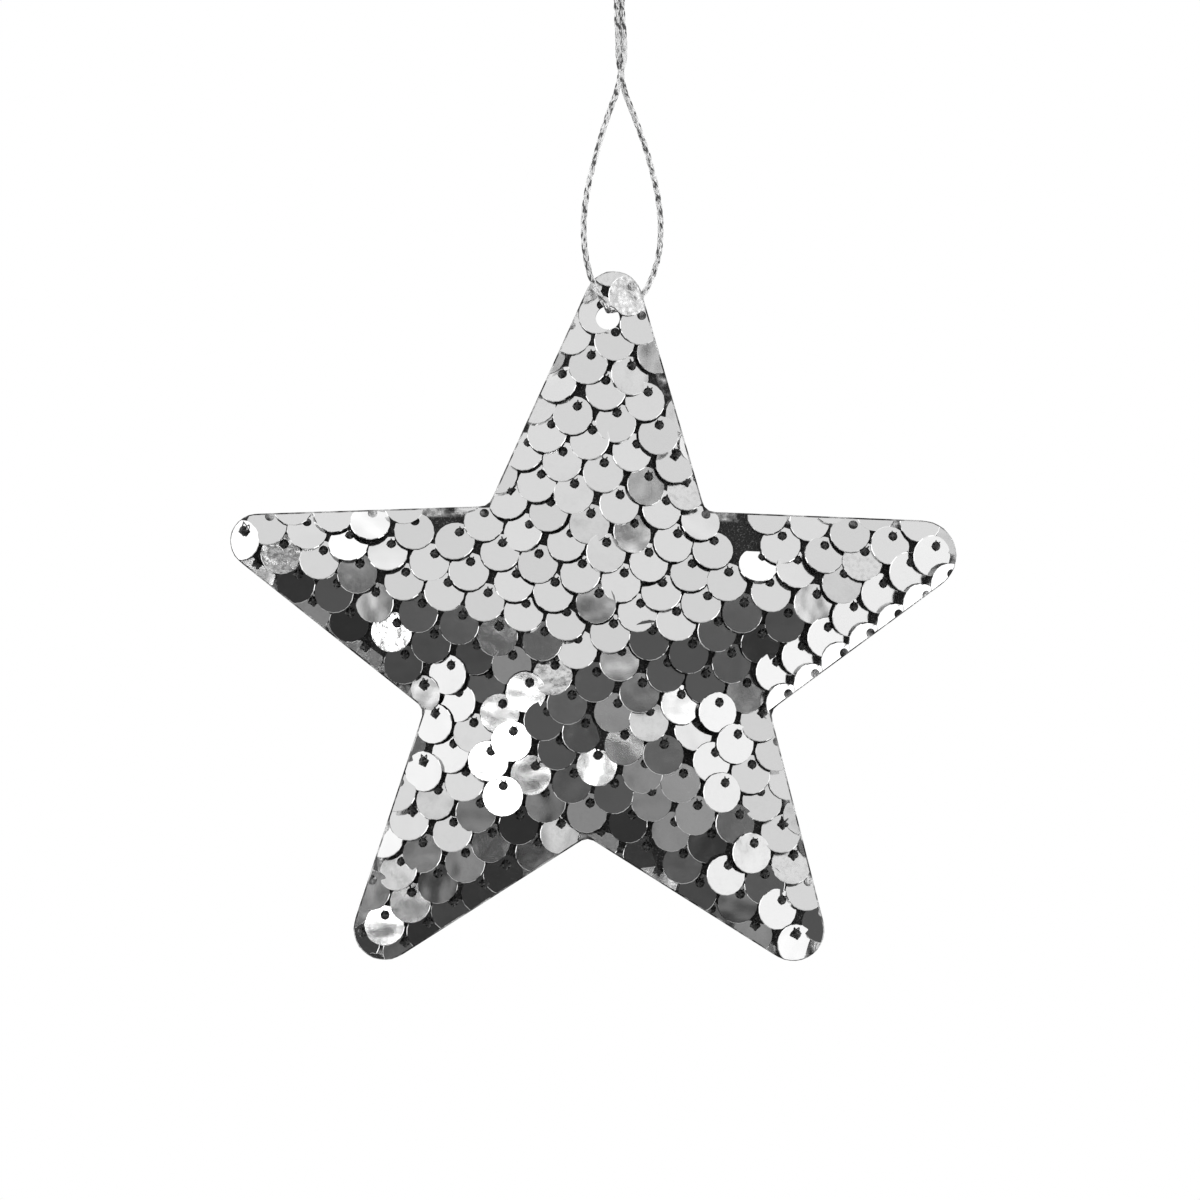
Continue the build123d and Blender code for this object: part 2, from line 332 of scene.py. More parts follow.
loopRoute = lowered(frontLeg, drop["hinge"]) + lowered(backLeg[-2::-1], drop["hinge"])
loopPoints = followedPoints(loopRoute)
loopCord = meshObject("loopCord", yarn, lambda mesh, uvs: braidInto(mesh, uvs, loopPoints))

pairPoints = followedPoints(pairRoute)


def twistedPair(mesh, uvs, points, turn):
    for phase in (pi / 2, -pi / 2):
        braidInto(mesh, uvs, offsetStrand(points, cordFacts["diameter"] / 2, turn, phase))


def openedTurn(run):
    # one leg behind the other at the pinch, side by side above it
    return pi / 2 * min(1.0, run / cordFacts["opening"]) ** 0.8 + 0.05 * run


pairCord = meshObject("pairCord", yarn, lambda m, u: twistedPair(m, u, pairPoints, openedTurn))
eyePoints = followedPoints(eyeRoute)
eyeCord = meshObject("eyeCord", yarn, lambda m, u: twistedPair(m, u, eyePoints, cordFacts["eyeLay"]))


knotFacts = {"turns": 3, "steps": 90, "reach": 1.14, "tuck": 0.5, "tuckFrom": 0.86, "tuckOver": 0.14,
             "height": 1.8, "swell": 1.12, "standingAside": 0.4, "standingRadius": 0.5, "standingHeight": 2.5}


def knotWraps(mesh, uvs):
    # turns round the standing cords, with both ends tucked under
    facts, steps = knotFacts, knotFacts["steps"]
    middle, wraps = (drop["knotTop"] + drop["knotBottom"]) / 2, []
    for i in range(steps + 1):
        turn = 2 * pi * facts["turns"] * i / steps
        tucked = max(0, abs(i / (steps / 2) - 1) - facts["tuckFrom"]) / facts["tuckOver"]
        reach = facts["reach"] - facts["tuck"] * tucked
        height = middle + (i / steps - 0.5) * facts["height"]
        wraps.append(Vector((reach * cos(turn), reach * sin(turn), height)))
    braidInto(mesh, uvs, wraps, facts["swell"])
    for x in (-facts["standingAside"], facts["standingAside"]):
        inside = [Vector((x, 0, drop["knotBottom"] + 0.05 + facts["standingHeight"] * i / 10)) for i in range(11)]
        tubeInto(mesh, uvs, inside, facts["standingRadius"], 8)


cordKnot = meshObject("cordKnot", yarn, knotWraps)


tailFacts = {"fibres": 7, "gathered": 0.15, "splayed": 0.3, "stagger": 0.1, "fibreRadius": 0.06}


def cutTails(mesh, uvs):
    # both cut ends, each braid fraying into its fibres
    facts = tailFacts
    for side in (1, -1):
        points = followedPoints([(side * x, side * y, z) for x, y, z in tailRoute])
        braidInto(mesh, uvs, points[:-5])
        for k in range(facts["fibres"]):
            turn = 2 * pi * k / facts["fibres"]
            end = points[-1] + Vector((cos(turn) * facts["splayed"], sin(turn) * facts["splayed"],
                                       facts["stagger"] * (k % 3)))
            start = points[-9] + Vector((cos(turn) * facts["gathered"], sin(turn) * facts["gathered"], 0))
            fibre = [start.lerp(end, t / 3) for t in range(4)]
            tubeInto(mesh, uvs, fibre, facts["fibreRadius"], 5, lambda share: 1 - 0.5 * share)


cordTails = meshObject("cordTails", yarn, cutTails)
print("cords made")


# ---- the padded star
starShape = {
    "tipReach": [54.4, 54.4, 55.2, 53.2, 55.7],
    "tipBearing": [88.9, 163.9, 234.6, 307.5, 18.6],
    "notchReach": [22.6, 22.6, 23.2, 23.0, 22.2],
    "notchBearing": [128.5, 200.5, 269.4, 343.2, 54.0],
    "tipRound": [3.6, 3.4, 3.9, 3.9, 4.4],
    "notchRound": 1.5,
    "rimWidth": 0.9,
    "rimThickness": 1.0,
    "puff": 4.4,
    "around": 420,
    "rings": 30,
    "hole": (0.0, 41.7, 1.5),
    "puckers": 0.16,
    "puckerScale": 0.16,
    "ringSpacing": 1.15,
    "crown": 1.35,
    "crownEase": 0.95,
    "softenings": 10,
}


def outlinePoints(inset, count):
    corners, rounds = [], []
    for i in range(5):
        for reach, bearing, radius in (
            (starShape["tipReach"][i], starShape["tipBearing"][i], max(0.6, starShape["tipRound"][i] - inset)),
            (starShape["notchReach"][i], starShape["notchBearing"][i], starShape["notchRound"] + inset),
        ):
            corners.append(Vector((reach * cos(radians(bearing)), reach * sin(radians(bearing)))))
            rounds.append(radius)
    moved = []
    for i, corner in enumerate(corners):
        before, after = corner - corners[i - 1], corners[(i + 1) % 10] - corner
        normals = [Vector((-run.y, run.x)).normalized() for run in (before, after)]
        moved.append(corner + (normals[0] + normals[1]) * inset / (1 + normals[0].dot(normals[1])))
    path = []
    for i, corner in enumerate(moved):
        before, after = (moved[i - 1] - corner).normalized(), (moved[(i + 1) % 10] - corner).normalized()
        half = acos(max(-1, min(1, before.dot(after)))) / 2
        radius = rounds[i]
        middle = corner + (before + after).normalized() * radius / sin(half)
        start, end = corner + before * radius / tan(half), corner + after * radius / tan(half)
        a0 = atan2(start.y - middle.y, start.x - middle.x)
        a1 = atan2(end.y - middle.y, end.x - middle.x)
        sweep = (a1 - a0 + pi) % (2 * pi) - pi
        for k in range(9):
            angle = a0 + sweep * k / 8
            path.append(middle + Vector((cos(angle), sin(angle))) * radius)
    path = np.array([tuple(p) for p in path])
    closed = np.vstack([path, path[:1]])
    run = np.concatenate([[0], np.cumsum(np.hypot(*np.diff(closed, axis=0).T))])
    want = np.linspace(0, run[-1], count, endpoint=False)
    return np.column_stack([np.interp(want, run, closed[:, 0]), np.interp(want, run, closed[:, 1])])


def paddedStar():
    n, rings = starShape["around"], starShape["rings"]
    outer = outlinePoints(0.0, n)
    # rim's inner edge, matched point for point by bearing
    inner = outlinePoints(starShape["rimWidth"], n)
    shares = np.concatenate([[1.0], 1 - np.linspace(0, 1, rings)[1:-1] ** starShape["ringSpacing"], [0.02]])
    heights = np.zeros((len(shares), n))
    for r, share in enumerate(shares):
        heights[r, :] = starShape["puff"] * (1 - share ** starShape["crown"]) ** starShape["crownEase"]
    places = shares[:, None, None] * inner[None, :, :]
    # the crease from each notch softens as the cloth is drawn over the filling
    for _ in range(starShape["softenings"]):
        around = (np.roll(heights, 1, 1) + np.roll(heights, -1, 1)) / 2
        across = heights.copy()
        across[1:-1] = (heights[:-2] + heights[2:]) / 2
        heights[1:-1] = (0.4 * heights + 0.4 * around + 0.2 * across)[1:-1]
    data = bpy.data.meshes.new("paddedStar")
    mesh = bmesh.new()
    band = mesh.verts.layers.float.new("edgeBand")
    half = starShape["rimThickness"] / 2

    def vertex(x, z, y, edge):
        v = mesh.verts.new(Vector((x, y, z + drop["star"])) * mm)
        v[band] = edge
        return v

    outerMid = [vertex(x, z, 0, 1.0) for x, z in outer]
    for side in (-1, 1):
        loops = [outerMid]
        loops.append([vertex(x * 0.9985, z * 0.9985, side * half * 0.8, 1.0) for x, z in outer])
        for r in range(len(shares)):
            ring = []
            for k in range(n):
                x, z = places[r, k]
                spot = Vector((x * starShape["puckerScale"], z * starShape["puckerScale"], side * 9.0))
                pucker = noise.noise(spot) * starShape["puckers"]
                pucker *= min(1, 6 * (1 - shares[r]))
                ring.append(vertex(x, z, side * (half + heights[r, k] + pucker), 1.0 if r == 0 else 0.0))
            loops.append(ring)
        for a, b in zip(loops, loops[1:]):
            for k in range(n):
                mesh.faces.new((a[k], a[(k + 1) % n], b[(k + 1) % n], b[k]))
        top = vertex(0, 0, side * (half + heights[-1].mean()), 0.0)
        for k in range(n):
            mesh.faces.new((loops[-1][k], loops[-1][(k + 1) % n], top))
    for face in mesh.faces:
        face.smooth = True
    bmesh.ops.recalc_face_normals(mesh, faces=mesh.faces)
    mesh.to_mesh(data)
    mesh.free()
    star = linked("paddedStar", data)
    star.data.materials.append(cloth)
    return star


def holePunch(length=14.0, sides=48):
    x0, z0, radius = starShape["hole"]
    data = bpy.data.meshes.new("punch")
    mesh = bmesh.new()
    bmesh.ops.create_cone(mesh, cap_ends=True, segments=sides, radius1=radius * mm, radius2=radius * mm,
                          depth=length * mm, matrix=Matrix.Translation(Vector((x0, 0, z0 + drop["star"])) * mm)
                          @ Matrix.Rotation(pi / 2, 4, "X"))
    mesh.to_mesh(data)
    mesh.free()
    punch = linked("punch", data)
    return punch


def settle(piece):
    bpy.context.view_layer.update()
    baked = bpy.data.meshes.new_from_object(piece.evaluated_get(bpy.context.evaluated_depsgraph_get()))
    piece.modifiers.clear()
    piece.data = baked
    return piece


def punched(piece, crossing=False):
    punch = holePunch()
    cut = piece.modifiers.new("punch", "BOOLEAN")
    cut.object, cut.operation, cut.solver, cut.use_self = punch, "DIFFERENCE", "EXACT", crossing
    settle(piece)
    bpy.data.objects.remove(punch)
    return piece


padded = paddedStar()
surface = BVHTree.FromPolygons([v.co.copy() for v in padded.data.vertices],
                               [tuple(p.vertices) for p in padded.data.polygons])
padded = punched(padded)
print("padded star made", len(padded.data.vertices))


# ---- sequins, laid in rows that fall to the right
sequinFacts = {
    "diameter": 5.15, "eye": 1.2, "eyeOffset": 1.3, "thickness": 0.1, "bevel": 0.07, "sides": 20,
    "pitch": 5.27, "rowPitch": 3.2, "slope": 11.7, "rowsOut": 17, "stepsOut": 12,
    "alongScatter": 0.22, "upScatter": 0.2, "tilt": 9.4, "tiltSpread": 2.6, "leastTilt": 4.5,
    "rollSpread": 3.8, "twistSpread": 9, "evenAbove": 3, "rumple": 1.35,
    "seatSpan": 1.7, "lean": 1.9, "lift": 0.44, "overhang": 2.4, "holeMargin": 0.2,
    "filmInset": 0.2, "sliver": 0.9, "rimRun": 0.3, "rimHeight": 0.72, "steepest": 0.3,
    "eyes": {-1: (0.43, -2.61), 1: (-1.10, 1.35)}, "seeds": {-1: 58, 1: 23},
}
# front sequins that have settled another way: a run from one place to the next, how wide it is,
# the azimuth and elevation that they face, and sometimes how worn they are
leans = [
    {"run": ((44, 12.5), (23, -4.5)), "wide": 3.0, "facing": (23, -3)},
    {"run": ((15.5, -8), (16.5, -16)), "wide": 2.6, "facing": (22, 3)},
    {"run": ((17.5, -20), (19, -27)), "wide": 2.2, "facing": (19, 4)},
    {"run": ((22.5, -8), (25, -26)), "wide": 2.2, "facing": (9, 15)},
    {"run": ((26, -33), (28, -38)), "wide": 3.0, "facing": (23, 3)},
    {"run": ((-19.5, -4.5), (-20.5, -14)), "wide": 2.8, "facing": (-24, 1)},
    {"run": ((-23.8, -19.5), (-25.5, -26)), "wide": 2.4, "facing": (-8, 14)},
    {"run": ((-26, -33), (-31, -42)), "wide": 5.0, "facing": (-3, 1)},
    {"run": ((-50, 14), (-47, 13)), "wide": 2.6, "facing": (-23, 0)},
    {"run": ((-9, -5.5), (-10.5, -16.5)), "wide": 3.0, "facing": (-5.5, 2), "luck": 0.4},
    {"run": ((-19.3, -27.3), (-19.3, -27.3)), "wide": 1.9, "facing": (-5.5, 2), "luck": 0.5},
    {"run": ((-24.1, 0.4), (-24.1, 0.4)), "wide": 2.2, "facing": (-4, 3), "luck": 0.99},
    {"run": ((5, 30), (9, 22)), "wide": 3.4, "facing": (4, 14)},
    {"run": ((-2.5, 46), (3, 45.5)), "wide": 2.8, "facing": (9, 2), "luck": 0.99},
]
# places and radii where the front cloth shows bare
bareSpots = [(8.4, 33.5, 2.2), (12.4, 19.2, 2.2), (16.5, 17.4, 2.4), (-18.2, 16.2, 2.4), (52, 17, 1.6)]
alongRow = Vector((cos(radians(sequinFacts["slope"])), 0, -sin(radians(sequinFacts["slope"]))))
upRows = Vector((sin(radians(sequinFacts["slope"])), 0, cos(radians(sequinFacts["slope"]))))
outline = outlinePoints(0.0, 700)


def outlineClearance(x, z):
    gaps = np.hypot(outline[:, 0] - x, outline[:, 1] - z)
    nearest = int(gaps.argmin())
    ahead = outline[(nearest + 1) % len(outline)] - outline[nearest - 1]
    inward = (-ahead[1], ahead[0])
    away = (x - outline[nearest][0]) * inward[0] + (z - outline[nearest][1]) * inward[1]
    return gaps[nearest] * (1 if away > 0 else -1), outline[nearest]


def clothHeight(x, z, side):
    start = Vector((x, side * 30, z + drop["star"])) * mm
    hit = surface.ray_cast(start, Vector((0, -side, 0)))[0]
    return abs(hit.y) / mm if hit else starShape["rimThickness"] / 2


def fromRun(x, z, run):
    start, end = (Vector(place) for place in run)
    along = end - start
    share = (Vector((x, z)) - start).dot(along) / max(along.length_squared, 1e-9)
    return (Vector((x, z)) - start - along * max(0, min(1, share))).length


def turnedToward(turn, azimuth, elevation, chance):
    azimuth, elevation = radians(azimuth + chance.gauss(0, 1.0)), radians(elevation + chance.gauss(0, 1.0))
    facing = Vector((sin(azimuth) * cos(elevation), -cos(azimuth) * cos(elevation), sin(elevation)))
    return (turn @ Vector((0, 0, 1))).rotation_difference(facing) @ turn


def sequinPlaces(side):
    facts, chance = sequinFacts, random.Random(sequinFacts["seeds"][side])
    leanChance = random.Random(3)
    places = []
    for row in range(-facts["rowsOut"], facts["rowsOut"] + 1):
        for step in range(-facts["stepsOut"], facts["stepsOut"] + 1):
            eye = Vector((facts["eyes"][side][0], 0, facts["eyes"][side][1]))
            eye -= upRows * row * facts["rowPitch"]
            eye += alongRow * facts["pitch"] * (step + 0.5 * (row % 2))
            eye += Vector((chance.gauss(0, facts["alongScatter"]), 0, chance.gauss(0, facts["upScatter"])))
            middle = eye - upRows * facts["eyeOffset"]
            rumple = 1.0 if middle.z > facts["evenAbove"] else facts["rumple"]
            tilt = max(facts["leastTilt"], facts["tilt"] + chance.gauss(0, facts["tiltSpread"]) * rumple)
            roll = chance.gauss(0, facts["rollSpread"]) * rumple
            twist, luck = chance.gauss(0, facts["twistSpread"]), chance.random()
            if outlineClearance(middle.x, middle.z)[0] < -facts["overhang"]:
                continue
            if side < 0 and any(hypot(middle.x - x, middle.z - z) < wide for x, z, wide in bareSpots):
                continue
            span = facts["seatSpan"]
            heights = [clothHeight(middle.x + s * d.x * span, middle.z + s * d.z * span, side)
                       for d in (alongRow, upRows) for s in (1, -1)]
            along = alongRow * 2 * span + Vector((0, side * (heights[0] - heights[1]), 0))
            upward = upRows * 2 * span + Vector((0, side * (heights[2] - heights[3]), 0))
            outward = along.cross(upward).normalized()
            outward = outward if outward.y * side > 0 else -outward
            base = max(sum(heights) / 4, clothHeight(middle.x, middle.z, side))
            seat = Vector((middle.x, side * base, middle.z + drop["star"])) + outward * facts["lift"]
            up = (upward - outward * upward.dot(outward)).normalized()
            turn = Matrix((up.cross(outward), up, outward)).transposed().to_quaternion()
            turn = turn @ Quaternion((1, 0, 0), radians(-tilt)) @ Quaternion((0, 1, 0), radians(roll))
            turn = turn @ Quaternion((0, 0, 1), radians(twist))
            for lean in leans if side < 0 else []:
                if fromRun(middle.x, middle.z, lean["run"]) < lean["wide"]:
                    luck = lean.get("luck", luck)
                    before = turn @ Vector((0, 0, 1))
                    turn = turnedToward(turn, *lean["facing"], leanChance)
                    seat = seat + outward * sin(before.angle(turn @ Vector((0, 0, 1)))) * facts["lean"]
            places.append((seat * mm, turn, luck))
    return places


def sequinDisc():
    # a thin film disc: a flat face with a narrow bevel, a slightly hollow underside, and the sewing eye
    facts = sequinFacts
    data = bpy.data.meshes.new("sequinDisc")
    mesh = bmesh.new()
    sides = facts["sides"]
    rings = []
    for radius, shift, height in ((facts["diameter"] / 2 - facts["bevel"], 0, facts["thickness"] / 2),
                                  (facts["diameter"] / 2, 0, -facts["thickness"] / 2),
                                  (facts["eye"] / 2, facts["eyeOffset"], facts["thickness"] / 2)):
        rings.append([mesh.verts.new(Vector((radius * sin(2 * pi * k / sides),
                                             radius * cos(2 * pi * k / sides) + shift, height)) * mm)
                      for k in range(sides)])
    top, rim, eye = rings
    for k in range(sides):
        nxt = (k + 1) % sides
        mesh.faces.new((top[k], eye[k], eye[nxt], top[nxt]))
        mesh.faces.new((rim[k], top[k], top[nxt], rim[nxt]))
        mesh.faces.new((eye[k], rim[k], rim[nxt], eye[nxt]))
    bmesh.ops.recalc_face_normals(mesh, faces=mesh.faces)
    mesh.to_mesh(data)
    mesh.free()
    disc = linked("sequinDisc", data)
    return disc


stitchFacts = {"wraps": ((0.3, 0.62), (1.9, 0.55)), "wrapRadius": 0.24, "strandAside": 0.28, "strandRadius": 0.1,
               "strandReach": 2.9, "eyeClear": 0.5, "edgeClear": 0.25, "holeClear": 1.0}


def threadStitch():
    # thread knotted in the eye, with two strands up over the disc into the cloth
    eyeOffset = sequinFacts["eyeOffset"]
    data = bpy.data.meshes.new("threadStitch")
    mesh = bmesh.new()
    uvs = mesh.loops.layers.uv.new("alongYarn")
    for turn, wide in stitchFacts["wraps"]:
        bulge = [Vector((cos(turn) * s * wide, eyeOffset + sin(turn) * s * wide, 0.28 - 0.5 * s * s))
                 for s in (-1, -0.5, 0, 0.5, 1)]
        tubeInto(mesh, uvs, bulge, stitchFacts["wrapRadius"], 5)
    for x in (-stitchFacts["strandAside"], stitchFacts["strandAside"]):
        strand = [Vector((x * s, eyeOffset + 0.2 + 0.55 * s, 0.3 - 0.22 * s * s)) for s in (0, 1.1, 2.1)]
        tubeInto(mesh, uvs, strand, stitchFacts["strandRadius"], 4)
    bmesh.ops.recalc_face_normals(mesh, faces=mesh.faces)
    mesh.to_mesh(data)
    mesh.free()
    stitch = linked("threadStitch", data)
    return stitch


def repeatTree(name, piece, material, settings):
    # one copy of the piece on every point, turned and seeded by the point's own attributes
    tree = bpy.data.node_groups.new(name, "GeometryNodeTree")
    tree.is_modifier = True
    tree.interface.new_socket("Geometry", in_out="INPUT", socket_type="NodeSocketGeometry")
    ids = {}
    for label, value in settings.items():
        kind = "NodeSocketInt" if isinstance(value, int) else "NodeSocketFloat"
        socket = tree.interface.new_socket(label, in_out="INPUT", socket_type=kind)
        socket.default_value = value
        ids[label] = socket.identifier
    tree.interface.new_socket("Geometry", in_out="OUTPUT", socket_type="NodeSocketGeometry")
    nodes, link = tree.nodes, tree.links.new
    source, sink = nodes.new("NodeGroupInput"), nodes.new("NodeGroupOutput")
    info = nodes.new("GeometryNodeObjectInfo")
    info.inputs["Object"].default_value = piece
    turn = nodes.new("GeometryNodeInputNamedAttribute")
    turn.data_type = "QUATERNION"
    turn.inputs["Name"].default_value = "turn"
    spread = nodes.new("FunctionNodeRandomValue")
    spread.data_type = "FLOAT"
    low = nodes.new("ShaderNodeMath")
    low.operation = "SUBTRACT"
    low.inputs[0].default_value = 1.0
    link(source.outputs["Size Spread"], low.inputs[1])
    link(low.outputs[0], spread.inputs[2])
    spread.inputs[3].default_value = 1.0
    link(source.outputs["Seed"], spread.inputs["Seed"])
    copies = nodes.new("GeometryNodeInstanceOnPoints")
    link(source.outputs["Geometry"], copies.inputs["Points"])
    link(info.outputs["Geometry"], copies.inputs["Instance"])
    link(next(o for o in turn.outputs if o.enabled and o.name == "Attribute"), copies.inputs["Rotation"])
    link(spread.outputs[1], copies.inputs["Scale"])
    real = nodes.new("GeometryNodeRealizeInstances")
    link(copies.outputs["Instances"], real.inputs["Geometry"])
    paint = nodes.new("GeometryNodeSetMaterial")
    paint.inputs["Material"].default_value = material
    link(real.outputs["Geometry"], paint.inputs["Geometry"])
    link(paint.outputs["Geometry"], sink.inputs[0])
    return tree, ids


def repeated(name, places, piece, material, settings):
    data = bpy.data.meshes.new(name)
    data.from_pydata([tuple(seat) for seat, _, _ in places], [], [])
    data.attributes.new("turn", "QUATERNION", "POINT")
    data.attributes.new("sequinSeed", "FLOAT", "POINT")
    for i, (_, turn, luck) in enumerate(places):
        data.attributes["turn"].data[i].value = turn
        data.attributes["sequinSeed"].data[i].value = luck
    host = linked(name, data)
    tree, ids = repeatTree(name + "Tree", piece, material, settings)
    modifier = host.modifiers.new("repeat", "NODES")
    modifier.node_group = tree
    for label, value in settings.items():
        modifier[ids[label]] = value
    return settle(host)


def armPlanes(i):
    # an arm is the meeting of half planes: its two edges, and tangents round its tip
    def corner(reach, bearing):
        return Vector((reach * cos(radians(bearing)), reach * sin(radians(bearing))))
    tip = corner(starShape["tipReach"][i], starShape["tipBearing"][i])
    before, after = [corner(starShape["notchReach"][k], starShape["notchBearing"][k]) for k in (i - 1, i)]
    radius = starShape["tipRound"][i]
    inward = ((before - tip).normalized() + (after - tip).normalized()).normalized()
    half = (before - tip).angle(after - tip) / 2
    middle = tip + inward * radius / sin(half)
    first = atan2(-inward.y, -inward.x) - (pi / 2 - half)
    planes = []
    for k in range(13):
        angle = first + (pi - 2 * half) * k / 12
        away = Vector((cos(angle), sin(angle)))
        planes.append((middle + away * (radius - sequinFacts["filmInset"]), away))
    rays = [(Vector((0, 0)), Vector((before.y, -before.x)).normalized()),
            (Vector((0, 0)), Vector((-after.y, after.x)).normalized())]
    return planes, rays


armCuts = [armPlanes(i) for i in range(5)]


def beyond(shape, place, away):
    return max(((v.co.x - place.x) * away.x + (v.co.z - place.y) * away.y for v in shape.verts), default=-1)


def sliced(shape, place, away):
    geometry = shape.verts[:] + shape.edges[:] + shape.faces[:]
    bmesh.ops.bisect_plane(shape, geom=geometry, dist=1e-5, plane_co=(place.x, 0, place.y),
                           plane_no=(away.x, 0, away.y), clear_outer=True)


def cutIsland(corners, faces):
    # one sequin, cut off along the star's edge as the die cuts it
    if min(outlineClearance(x, z)[0] for x, y, z in corners) > sequinFacts["filmInset"] + 0.02:
        return corners, faces
    kept = bmesh.new()
    for planes, rays in armCuts:
        shape = bmesh.new()
        verts = [shape.verts.new(c) for c in corners]
        for face in faces:
            shape.faces.new([verts[i] for i in face])
        if min(beyond(shape, place, -away) for place, away in rays) > 0:
            for place, away in planes:
                if beyond(shape, place, away) > 1e-5:
                    sliced(shape, place, away)
            bmesh.ops.holes_fill(shape, edges=[e for e in shape.edges if e.is_boundary], sides=0)
            for place, away in rays:
                if beyond(shape, place, away) > 1e-5:
                    sliced(shape, place, away)
            again = {v: kept.verts.new(v.co) for v in shape.verts}
            for face in shape.faces:
                kept.faces.new([again[v] for v in face.verts])
        shape.free()
    bmesh.ops.remove_doubles(kept, verts=kept.verts, dist=1e-4)
    kept.verts.index_update()
    result = [tuple(v.co) for v in kept.verts], [[v.index for v in f.verts] for f in kept.faces]
    kept.free()
    return pressedDown(*result)


def pressedDown(corners, faces):
    # a cut sequin stays flat and leans down to the pressed rim, and a sliver of one is dropped
    if not corners:
        return corners, faces
    middle = sum((Vector(c) for c in corners), Vector()) / len(corners)
    gap, nearest = outlineClearance(middle.x, middle.z)
    away = (nearest - np.array((middle.x, middle.z))) / max(abs(gap), 1e-6)
    runs = [(x - middle.x) * away[0] + (z - middle.z) * away[1] for x, y, z in corners]
    low, high = min(runs), max(runs)
    if high - low < sequinFacts["sliver"]:
        return [], []
    outer = [abs(c[1]) for c, run in zip(corners, runs) if run > high - sequinFacts["rimRun"]]
    excess = max(0.0, sum(outer) / len(outer) - sequinFacts["rimHeight"])
    slope = min(sequinFacts["steepest"], excess / max(high - low, 1e-6))
    return [(x, y - slope * (run - low) * (1 if y > 0 else -1), z)
            for (x, y, z), run in zip(corners, runs)], faces


def trimmedToOutline(piece):
    seeds = [0.0] * len(piece.data.vertices)
    piece.data.attributes["sequinSeed"].data.foreach_get("value", seeds)
    corners = [tuple(v.co / mm - Vector((0, 0, drop["star"]))) for v in piece.data.vertices]
    faces = [tuple(p.vertices) for p in piece.data.polygons]
    allCorners, allFaces, allSeeds = [], [], []
    for members, own in islandsOf(len(corners), faces):
        order = {v: i for i, v in enumerate(members)}
        kept, rest = cutIsland([corners[v] for v in members], [[order[v] for v in f] for f in own])
        base = len(allCorners)
        allCorners += kept
        allFaces += [[base + v for v in f] for f in rest]
        allSeeds += [max(seeds[v] for v in members)] * len(rest)
    data = bpy.data.meshes.new(piece.name)
    data.from_pydata([(x * mm, y * mm, (z + drop["star"]) * mm) for x, y, z in allCorners], [], allFaces)
    data.attributes.new("sequinSeed", "FLOAT", "FACE")
    data.attributes["sequinSeed"].data.foreach_set("value", allSeeds)
    data.materials.append(sequinFilm)
    shape = bmesh.new()
    shape.from_mesh(data)
    bmesh.ops.recalc_face_normals(shape, faces=shape.faces)
    shape.to_mesh(data)
    shape.free()
    piece.data = data


def islandsOf(count, faces):
    root = list(range(count))

    def find(v):
        while root[v] != v:
            root[v] = root[root[v]]
            v = root[v]
        return v
    for face in faces:
        for v in face[1:]:
            root[find(v)] = find(face[0])
    members, own = {}, {}
    for v in range(count):
        members.setdefault(find(v), []).append(v)
    for face in faces:
        own.setdefault(find(face[0]), []).append(face)
    return [(members[r], own.get(r, [])) for r in members]


def nearHole(place):
    x0, z0, radius = starShape["hole"]
    reach = radius + sequinFacts["diameter"] / 2 + sequinFacts["holeMargin"]
    return hypot(place.x / mm - x0, place.z / mm - drop["star"] - z0) < reach


def sequinSide(side, name):
    places = sequinPlaces(side)
    disc, stitch = sequinDisc(), threadStitch()
    settings = {"Size Spread": 0.02, "Seed": sequinFacts["seeds"][side]}
    cut = repeated(name + "Cut", [p for p in places if nearHole(p[0])], disc, sequinFilm, settings)
    punched(cut, crossing=True)
    whole = repeated(name, [p for p in places if not nearHole(p[0])], disc, sequinFilm, settings)
    for piece in (whole, cut):
        trimmedToOutline(piece)
    x0, z0, radius = starShape["hole"]
    sewn = []
    for place in places:
        # a stitch shows only where its eye and the ends of its strands lie well inside the star
        (x, z), (endX, endZ) = [(spot.x / mm, spot.z / mm - drop["star"]) for spot in (
            place[0] + place[1] @ Vector((0, reach * mm, 0))
            for reach in (sequinFacts["eyeOffset"], stitchFacts["strandReach"]))]
        clear = min(outlineClearance(x, z)[0] - stitchFacts["eyeClear"], outlineClearance(endX, endZ)[0])
        if clear > stitchFacts["edgeClear"] and hypot(x - x0, z - z0) > radius + stitchFacts["holeClear"]:
            sewn.append(place)
    threads = repeated(name + "Thread", sewn, stitch, thread, {"Size Spread": 0.15, "Seed": 5})
    bpy.data.objects.remove(disc)
    bpy.data.objects.remove(stitch)
    return whole, cut, threads, len(places)


frontSequins, frontCut, frontThreads, count = sequinSide(-1, "frontSequins")
print("front sequins", count, len(frontSequins.data.polygons))
backSequins, backCut, backThreads, count = sequinSide(1, "backSequins")
print("back sequins", count, len(backSequins.data.polygons))


# ---- what rides on what
for piece in (padded, frontSequins, frontCut, frontThreads, backSequins, backCut, backThreads):
    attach(piece, "star")
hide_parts("filling", "front_cloth", "back_cloth")
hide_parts(*[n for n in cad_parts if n.startswith("front_sequins")])
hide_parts(*[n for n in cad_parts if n.startswith("back_sequins")])

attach(loopCord, "loop")
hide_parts("cord_front_leg", "cord_back_leg")
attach(pairCord, "pair")
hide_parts("cord_pair")
for piece, node in ((eyeCord, "cord_eye"), (cordKnot, "cord_knot"), (cordTails, "cord_tails")):
    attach(piece, "hanger")
    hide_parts(node)
print("pieces attached")


# ---- studio: pale floor, white surround, soft boxes above and at the sides
studio = {"camera": 0.1, "below": 0.03, "darkTo": -0.35, "darkFrom": 0.02, "openFrom": 0.3, "openTo": 0.55,
          "floorDrop": 520.0, "floorRadius": 420.0}
starMiddle = Vector((0, 0, drop["star"] * mm))


